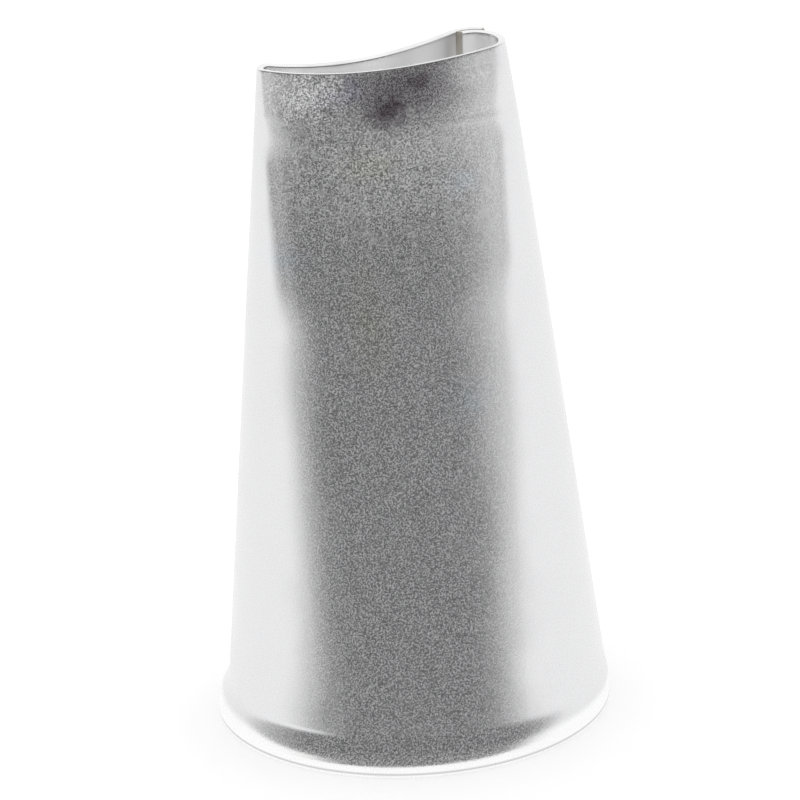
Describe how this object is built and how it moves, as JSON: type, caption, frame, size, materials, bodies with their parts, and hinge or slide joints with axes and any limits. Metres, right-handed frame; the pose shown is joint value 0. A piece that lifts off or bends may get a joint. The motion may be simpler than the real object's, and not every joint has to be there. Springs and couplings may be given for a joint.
{
  "type": "piping nozzle",
  "caption": "Petal piping nozzle of thin sheet steel: a seamed, flared cone pressed flat to a curved teardrop mouth.",
  "frame": {"origin": "centre of the round base, on the plane that the nozzle stands on", "axes": "+Z from the base up to the mouth; X along the mouth's long axis, with its narrow end at -X; the mouth's convex front faces -Y"},
  "size_m": [0.0254, 0.0254, 0.0444],
  "materials": {
    "sheet_steel": "bead-blasted satin",
    "joint_metal": "satin, slightly warm"
  },
  "bodies": {
    "root": {"nozzle_shell": "sheet_steel", "seam_braze": "joint_metal"}
  },
  "joints": []
}
